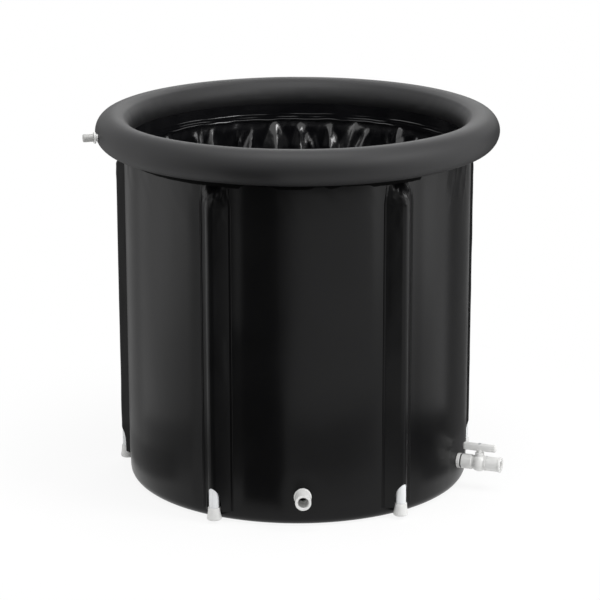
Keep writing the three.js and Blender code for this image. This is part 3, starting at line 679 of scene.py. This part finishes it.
def archEdge(across):  # the sleeve's lower edge, with the arch for rod and foot
    reach = abs(across) / sleeve["archHalf"]
    if reach >= 1:
        return sleeve["foot"]
    return sleeve["archFoot"] + (sleeve["archTop"] - sleeve["archFoot"]) * math.sqrt(1 - reach ** 2)


def sleeveFold(number, across, height, size, pitch, seed):  # slack of the loose sheet, another for each sleeve
    return sleeve[size] * max(0, wobble(across / sleeve[pitch][0] + number, height / sleeve[pitch][1], seed))


def sleevePoint(number, across, out, row):
    raised = ease(out, *sleeve["loose"])  # 0 on the welded strips, 1 on the loose sheet
    shoulder = sleeve["shoulder"]
    if row <= sleeve["rows"]:
        low = archEdge(across)
        height = low + (shoulder - low) * row / sleeve["rows"]
        slack = sleeveFold(number, across, height, "slack", "slackPitch", 17)
        crumple = sleeveFold(number, across, height, "crumple", "crumplePitch", 18)
        return across, out + raised * (slack + crumple * ease(height, *sleeve["crumpleFrom"])), height
    back = (row - sleeve["rows"]) / sleeve["roofRows"]  # the roof leans back to the wall, slowly at first
    turns = sleeve["puckerTurns"]
    gather = sleeve["pucker"] * wobble(across / sleeve["puckerPitch"] + turns * number, back * turns, 28)
    gather = max(sleeve["puckerLeast"], gather * math.sin(math.pi * back))
    out = onWall(across) + (out - onWall(across)) * (1 - back ** sleeve["roofBend"]) + raised * gather
    tip = sleeve["roofTop"] + sleeve["ragged"] * wobble(across / sleeve["raggedPitch"], number, 29)
    return across * (1 - sleeve["roofTaper"] * back), out, shoulder + (tip - shoulder) * back


def makeSleeve(number, angle):
    section = sleeveSection()
    columns, rows = len(section) - 1, sleeve["rows"] + sleeve["roofRows"]
    deselectAll()
    bpy.ops.mesh.primitive_grid_add(x_subdivisions=columns, y_subdivisions=rows, size=2)
    piece = nameNew(f"pocket_skin_{number}")
    for vertex in piece.data.vertices:
        column, row = round((vertex.co.x + 1) / 2 * columns), round((vertex.co.y + 1) / 2 * rows)
        across, out, height = sleevePoint(number, *section[column], row)
        vertex.co = (across * mm, -out * mm, height * mm)
    setMode("EDIT")
    bpy.ops.mesh.select_all(action="SELECT")
    bpy.ops.mesh.remove_doubles(threshold=sleeve["meetGap"] * mm)
    bpy.ops.mesh.normals_make_consistent(inside=False)
    setMode("OBJECT")
    foremost = min(piece.data.polygons, key=lambda face: face.center.y)
    if foremost.normal.y > 0:
        piece.data.flip_normals()
    thicken(piece, sleeve["thickness"])
    placeUp(piece, angle, wallRadius)
    settle(piece, "tub", satinSheet, "wall_sheet", f"pocket_{number}", smooth=40)


for supportNumber, supportAngle in enumerate(supportAngles, start=1):
    makeSleeve(supportNumber, supportAngle)
print("sleeves done")

footCap = {"radius": 14.5, "neck": 12, "height": 25, "floor": 6, "round": 2.5, "lift": 6, "lip": 0.8, "play": 0.3,
           "flare": ((14.4, 5), (13.5, 9), (12.7, 13), (12.2, 19)), "segments": 48}
pipe = {"radius": 10, "wall": 1.8, "bottom": 12.3, "edge": 0.35, "segments": 40}


def makeStand(number, angle):
    base, neck, top = footCap["radius"], footCap["neck"], footCap["height"]
    curve, lip = footCap["round"], footCap["lip"]
    socket = pipe["radius"] + footCap["play"]
    outline = [(base - curve, 0), *arcPoints((base - curve, curve), curve, -75, 0, 5),
               *footCap["flare"], (neck, top - lip), *arcPoints((neck - lip, top - lip), lip, 15, 90, 3),
               (socket, top), (socket, footCap["floor"])]
    foot = turnPiece(f"foot_cap_{number}", outline, footCap["segments"], fillEnds=True)
    placeUp(foot, angle, wallRadius + rodOut, footCap["lift"])
    settle(foot, f"rod_{number}", whiteAbs, "white_plastic", f"rod_foot_{number}")

    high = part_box(f"support_rod_{number}")[1].z / mm
    outline = tubeOutline(pipe["radius"] - pipe["wall"], pipe["radius"], pipe["bottom"], high)
    tube = turnPiece(f"pipe_{number}", outline, pipe["segments"])
    softenEdges(tube, pipe["edge"])
    placeUp(tube, angle, wallRadius + rodOut)
    settle(tube, f"rod_{number}", whitePipe, "rod_plastic", f"support_rod_{number}")


for supportNumber, supportAngle in enumerate(supportAngles, start=1):
    makeStand(supportNumber, supportAngle)
print("rods and feet done")

spout = {"throat": 9, "barrel": 13, "barrelEnd": -20.8, "flange": 17, "flangeBack": 2.6, "flangeFront": 7.6,
         "tube": 15.5, "bore": 10.7, "reach": 40, "lip": 1, "chamfer": 0.8, "edge": 0.3, "segments": 64}


def makeSpout():
    throat, barrel, flange, bore = spout["throat"], spout["barrel"], spout["flange"], spout["bore"]
    end, back, front = spout["barrelEnd"], spout["flangeBack"], spout["flangeFront"]
    lip, chamfer = spout["lip"], spout["chamfer"]
    outline = [(throat, end), (barrel, end), (barrel, back), (flange, back), (flange, front - chamfer),
               (flange - chamfer, front), (spout["tube"], front),
               *arcPoints((spout["tube"] - lip, spout["reach"] - lip), lip, 0, 90, 4),
               *arcPoints((bore + lip, spout["reach"] - lip), lip, 90, 180, 4),
               (bore, front), (throat, front), (throat, end)]
    body = turnPiece("spout_tube", outline, spout["segments"])
    softenEdges(body, spout["edge"], angle=50)
    placeOut(body, spoutAngle, wallRadius, spoutHeight)
    settle(body, "tub", whiteAbs, "white_plastic", "spout_body")


makeSpout()
print("spout done")

tap = {"ball": 45.9, "inletStart": 9.9, "inletEnd": 32.9, "inlet": 15, "groove": 14, "grooveFrom": 2.2,
       "grooveTo": 1.6, "bulge": 17.5, "bulgeSteps": 18, "collar": 15, "collarFrom": 4, "collarTo": 3.4,
       "bodyEnd": 60.9, "socket": 11.3, "waterway": 7, "boss": 9, "bossBottom": 12, "bossTop": 22, "stemBore": 6.4,
       "nut": 15, "nutBore": 11.3, "nutFrom": 0.3, "nutTo": 7.3, "nutChamfer": 0.6, "spigot": 10.9, "play": 0.1,
       "outletFrom": 61.2, "outletTo": 91.2, "outlet": 14.5, "rim": 15.5, "rimFrom": 5, "rimTo": 4, "rimRound": 1,
       "outBore": 9, "boreStep": 3, "chamfer": 0.8, "edge": 0.5, "segments": 64, "bossSegments": 48}


def makeTapBody():
    start, end, groove, collar = tap["inletStart"], tap["bodyEnd"], tap["groove"], tap["collar"]
    chamfer, edge = tap["chamfer"], tap["edge"]
    lean = math.degrees(math.asin(groove / tap["bulge"]))
    outline = [(tap["socket"], start), (tap["inlet"] - chamfer, start), (tap["inlet"], start + chamfer),
               (tap["inlet"], tap["inletEnd"] - tap["grooveFrom"]), (groove, tap["inletEnd"] - tap["grooveTo"]),
               *arcPoints((0, tap["ball"]), tap["bulge"], lean - 90, 90 - lean, tap["bulgeSteps"]),
               (groove, end - tap["collarFrom"]), (collar, end - tap["collarTo"]), (collar, end - edge),
               (collar - edge, end), (tap["socket"], end), (tap["socket"], start)]
    body = turnPiece("tap_shell", outline, tap["segments"])
    radius, bore, low, top = tap["boss"], tap["stemBore"], tap["bossBottom"], tap["bossTop"]
    outline = [(radius, low), (radius, top - chamfer), (radius - chamfer, top), (bore, top), (bore, low),
               (radius, low)]
    boss = turnPiece("boss", outline, tap["bossSegments"])
    pick(boss)
    boss.rotation_euler = (-math.pi / 2, 0, 0)  # upright in the body's own frame, where Y is up
    boss.location = (0, 0, tap["ball"] * mm)
    applyPlace()
    unite(body, boss)
    return body


def makeTapOutlet():
    start, back, front = tap["ball"] + tap["spigot"], tap["outletFrom"], tap["outletTo"]
    spigot, curve, chamfer, edge = tap["socket"] - tap["play"], tap["rimRound"], tap["chamfer"], tap["edge"]
    outline = [(tap["waterway"], start), (spigot, start), (spigot, back), (tap["outlet"] - edge, back),
               (tap["outlet"], back + edge), (tap["outlet"], front - tap["rimFrom"]),
               (tap["rim"], front - tap["rimTo"]),
               *arcPoints((tap["rim"] - curve, front - curve), curve, 0, 90, 4),
               (tap["outBore"] + chamfer, front), (tap["outBore"], front - chamfer),
               (tap["outBore"], back + tap["boreStep"]), (tap["waterway"], back), (tap["waterway"], start)]
    return turnPiece("tap_spout", outline, tap["segments"])


def makeTapNut():
    outline = tubeOutline(tap["nutBore"], tap["nut"], tap["nutFrom"], tap["nutTo"], tap["nutChamfer"])
    return turnPiece("tap_nut", outline, tap["segments"])


for tapPiece, nodeName in (
    (makeTapBody(), "tap_body"), (makeTapOutlet(), "tap_outlet"), (makeTapNut(), "tap_lock_nut"),
):
    placeOut(tapPiece, tapAngle, wallRadius, tapHeight)
    settle(tapPiece, "tub", whiteAbs, "white_plastic", nodeName)
print("tap done")

lever = {"length": 70, "width": 10, "bottom": 24.8, "top": 40.8, "corner": 5, "cornerSteps": 6, "edge": 1.2,
         "edgeSteps": 3, "hub": 6.5, "hubBottom": 22.3, "hubSink": 4, "segments": 48}


def makeLever():
    bottom, top = lever["bottom"], lever["top"]
    deselectAll()
    bpy.ops.mesh.primitive_cube_add(size=1)
    bar = nameNew("lever_bar")
    bar.scale = (lever["width"] * mm, lever["length"] * mm, (top - bottom) * mm)
    bar.location = (0, 0, (top + bottom) / 2 * mm)
    applyPlace()
    setMode("EDIT")
    bpy.ops.mesh.select_all(action="SELECT")
    bpy.ops.mesh.bevel(offset=lever["corner"] * mm, segments=lever["cornerSteps"])  # rounds every edge of the bar
    setMode("OBJECT")
    softenEdges(bar, lever["edge"], steps=lever["edgeSteps"], angle=50)
    outline = [(lever["hub"], lever["hubBottom"]), (lever["hub"], bottom + lever["hubSink"])]
    unite(bar, turnPiece("hub", outline, lever["segments"], fillEnds=True))
    placeUp(bar, tapAngle, wallRadius + tap["ball"], tapHeight)
    settle(bar, "tap_handle", whiteAbs, "white_plastic", "tap_lever")


makeLever()
print("lever done")

valve = {"neck": 7, "bore": 3, "inside": -6, "standOff": 3, "collar": 11.5, "collarEnd": 7, "stub": 5,
         "stubEnd": 20, "cap": 7.75, "capFrom": 7.3, "capTo": 28.1, "hollowEnd": 22.1, "play": 0.3,
         "chamfer": 0.8, "capEdge": 0.4, "capRound": 1.4, "segments": 48}


def makeValve():
    ringEdge = ringRadius + tubeRadius
    neck, bore, stub, collar = valve["neck"], valve["bore"], valve["stub"], valve["collar"]
    inside, back, front, chamfer = valve["inside"], valve["standOff"], valve["collarEnd"], valve["chamfer"]
    outline = [(bore, inside), (neck, inside), (neck, back), (collar - chamfer, back), (collar, back + chamfer),
               (collar, front - chamfer), (collar - chamfer, front), (stub, front), (stub, valve["stubEnd"]),
               (bore, valve["stubEnd"]), (bore, inside)]
    base = turnPiece("valve_neck", outline, valve["segments"])
    placeOut(base, valveAngle, ringEdge, ringHeight)
    settle(base, "tub", whiteAbs, "white_plastic", "air_valve_base")

    hollow, cap, low, high = stub + valve["play"], valve["cap"], valve["capFrom"], valve["capTo"]
    edge, curve = valve["capEdge"], valve["capRound"]
    outline = [(hollow, valve["hollowEnd"]), (hollow, low), (cap - edge, low), (cap, low + edge),
               (cap, high - curve), *arcPoints((cap - curve, high - curve), curve, 20, 90, 4)]
    shell = turnPiece("valve_cap_shell", outline, valve["segments"], fillEnds=True)
    placeOut(shell, valveAngle, ringEdge, ringHeight)
    # the cap's light grey is painted shade, a darker copy of the moulded white
    settle(shell, "valve_cap", shadedCap, "white_plastic", "air_valve_cap")


makeValve()
print("air valve done")

nodeFinishes = (
    (blackRubber, ("spout_gasket", "spout_inner_gasket", "drain_plug", "tap_inner_gasket", "tap_gasket",
                   "tap_stem_seal", "air_valve_seal")),
    (seatPlastic, ("tap_seat_inner", "tap_seat_outer")),
    (screwSteel, ("tap_lever_screw",)),
    (whiteAbs, ("spout_nut", "tap_bulkhead", "tap_ball", "tap_stem",
                *(f"rod_plug_{n + 1}" for n in range(supportCount)))),
)


def dressNodes():
    for material, names in nodeFinishes:
        for name in names:
            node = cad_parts[name]
            node.data.materials.clear()
            node.data.materials.append(material)
            pick(node)
            bpy.ops.object.shade_smooth_by_angle(angle=math.radians(30))


dressNodes()
print("carried-over pieces finished")

studio = {"floor": 8, "floorDrop": 0.4, "paper": "#f7f7f7", "paperRoughness": 0.9, "ambient": 0.52, "white": 1,
          "floorGlow": 0.88, "glowFrom": 0.5, "glowTo": 0.95}
softboxes = (  # name, place, aim and size in metres, power
    ("top_softbox", (0, -0.4, 3.2), (0, 0, 0.5), (1.7, 1.7), 48),
    ("key_softbox", (1.7, -1.1, 2.1), (0, 0, 0.7), (1, 1), 27),
    ("left_softbox", (-1.35, -0.25, 0.7), (0, -0.25, 0.5), (0.7, 1.3), 2),
    ("right_softbox", (1.35, -0.6, 0.75), (0, -0.6, 0.5), (1.2, 1.3), 5.2),
    ("back_softbox", (0.3, 2.3, 1.9), (0, -0.3, 0.7), (1.8, 0.6), 12),
)
flags = (  # name, start, end, bottom and top in metres, brightness
    ("front_flag", (-1.0, -1.0), (-0.1, -1.25), 0, 0.6, 0.08),
    ("front_near_flag", (-0.178, -0.412), (-0.04, -0.432), 0, 0.72, 0.08),
    ("front_low_flag", (-0.36, -0.455), (-0.117, -0.582), 0, 0.3, 0.1),
    ("front_right_flag", (-0.06, -0.58), (0.42, -0.5), 0, 0.14, 0.45),
    ("ring_flag", (-0.55, -0.66), (0.55, -0.66), 0.6, 0.76, 0.2),
    ("left_flag", (-0.45, -0.05), (-0.45, 0.24), 0, 0.75, 0.45),
    ("left_back_flag", (-0.45, 0.24), (-0.45, 0.9), 0, 0.75, 0.2),
    ("right_flag", (0.45, -0.1), (0.45, 0.22), 0, 0.75, 0.2),
    ("right_low_flag", (0.45, -0.4), (0.45, -0.1), 0, 0.13, 0.12),
    ("left_low_flag", (-0.45, -0.4), (-0.45, -0.06), 0, 0.11, 0.5),
    ("left_foot_flag", (-0.39, -0.25), (-0.385, 0.35), 0, 0.07, 0.35),
    ("right_foot_flag", (0.39, -0.25), (0.385, 0.35), 0, 0.07, 0.25),
    ("right_back_flag", (0.45, 0.22), (0.45, 0.9), 0, 0.75, 0.42),
)


def addMath(tree, operation, first, second):
    node = addNode(tree, "ShaderNodeMath", {"operation": operation})
    tree.links.new(first, node.inputs[0])
    tree.links.new(second, node.inputs[1])
    return node.outputs["Value"]


def mixInto(tree, output, share, first, second):  # two shaders into the tree's output
    mix = addNode(tree, "ShaderNodeMixShader", {}, {"Fac": share})
    tree.links.new(first, mix.inputs[1])
    tree.links.new(second, mix.inputs[2])
    tree.links.new(mix.outputs["Shader"], tree.nodes[output].inputs["Surface"])


def lightMask(tree):  # 1 for what the camera, a mirror or glass sees
    path = addNode(tree, "ShaderNodeLightPath").outputs
    seen = addMath(tree, "MAXIMUM", path["Is Camera Ray"], path["Is Glossy Ray"])
    return addMath(tree, "MAXIMUM", seen, path["Is Transmission Ray"])


def makeWorld():
    world = bpy.data.worlds.new("studio")
    bpy.context.scene.world = world
    world.use_nodes = True
    tree = world.node_tree
    ambient = tree.nodes["Background"]
    ambient.inputs["Color"].default_value = (1, 1, 1, 1)
    ambient.inputs["Strength"].default_value = studio["ambient"]
    white = addNode(tree, "ShaderNodeBackground", {"Color": (1, 1, 1, 1), "Strength": studio["white"]})
    mixInto(tree, "World Output", lightMask(tree), ambient.outputs["Background"], white.outputs["Background"])


def makeStudioFloor():
    deselectAll()
    bpy.ops.mesh.primitive_plane_add(size=studio["floor"], location=(0, 0, -studio["floorDrop"] * mm))
    floor = nameNew("studio_floor")
    paper = bpy.data.materials.new("white_paper")
    paper.use_nodes = True
    tree = paper.node_tree
    shader = tree.nodes["Principled BSDF"]
    shader.inputs["Base Color"].default_value = hexColour(studio["paper"])
    shader.inputs["Roughness"].default_value = studio["paperRoughness"]
    shader.inputs["Specular IOR Level"].default_value = 0
    glow = addNode(tree, "ShaderNodeEmission", {"Color": (1, 1, 1, 1), "Strength": studio["white"]})
    away = addNode(tree, "ShaderNodeVectorMath", {"operation": "LENGTH"})
    tree.links.new(addNode(tree, "ShaderNodeTexCoord").outputs["Object"], away.inputs[0])
    span = {"interpolation_type": "SMOOTHSTEP", "From Min": studio["glowFrom"], "From Max": studio["glowTo"],
            "To Min": studio["floorGlow"]}
    fade = addNode(tree, "ShaderNodeMapRange", span, {"Value": away.outputs["Value"]})  # white beyond the shadow
    share = addMath(tree, "MULTIPLY", lightMask(tree), fade.outputs["Result"])
    mixInto(tree, "Material Output", share, shader.outputs["BSDF"], glow.outputs["Emission"])
    floor.data.materials.append(paper)
    floor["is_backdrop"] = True


def addSoftbox(name, spot, aim, size, power):
    bpy.ops.object.light_add(type="AREA", location=spot)
    lamp = bpy.context.object
    lamp.name = name
    lamp.data.shape = "RECTANGLE"
    lamp.data.size, lamp.data.size_y = size
    lamp.data.energy = power
    lamp.rotation_euler = (Vector(aim) - Vector(spot)).to_track_quat("-Z", "Y").to_euler()
    lamp.visible_camera = False


def addFlag(name, start, end, low, high, level):  # upright card, dark to pale grey, that only reflections see
    middle = Vector(((start[0] + end[0]) / 2, (start[1] + end[1]) / 2, (low + high) / 2))
    bpy.ops.mesh.primitive_plane_add(size=1, location=middle)
    card = nameNew(name)
    card.scale = (math.hypot(end[0] - start[0], end[1] - start[1]), high - low, 1)
    card.rotation_euler = (math.pi / 2, 0, math.atan2(end[1] - start[1], end[0] - start[0]))
    applyPlace()
    board = bpy.data.materials.new(f"{name}_board")
    board.use_nodes = True
    tree = board.node_tree
    glow = addNode(tree, "ShaderNodeEmission", {"Color": (1, 1, 1, 1), "Strength": level})
    tree.links.new(glow.outputs["Emission"], tree.nodes["Material Output"].inputs["Surface"])
    card.data.materials.append(board)
    card.visible_camera = False
    card.visible_diffuse = False
    card.visible_shadow = False
    card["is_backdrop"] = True


makeWorld()
makeStudioFloor()
for softbox in softboxes:
    addSoftbox(*softbox)
for flag in flags:
    addFlag(*flag)
print("studio ready")

cameraPlace = {"across": 6.5, "away": 4700, "height": 1680, "pitch": 15.71, "roll": 0.09, "lens": 144,
               "sensor": 36}


def makeCamera():
    bpy.ops.object.camera_add(
        location=(cameraPlace["across"] * mm, -cameraPlace["away"] * mm, cameraPlace["height"] * mm),
        rotation=(math.radians(90 - cameraPlace["pitch"]), math.radians(cameraPlace["roll"]), 0))
    camera = bpy.context.object
    camera.data.lens = cameraPlace["lens"]
    camera.data.sensor_width = cameraPlace["sensor"]
    bpy.context.scene.camera = camera
    bpy.context.scene.view_settings.view_transform = "Standard"


makeCamera()
newLow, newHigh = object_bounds()
for label, span in (("visual box", newHigh - newLow), ("cad box", cadHigh - cadLow)):
    print(label, [round(v / mm, 1) for v in span])
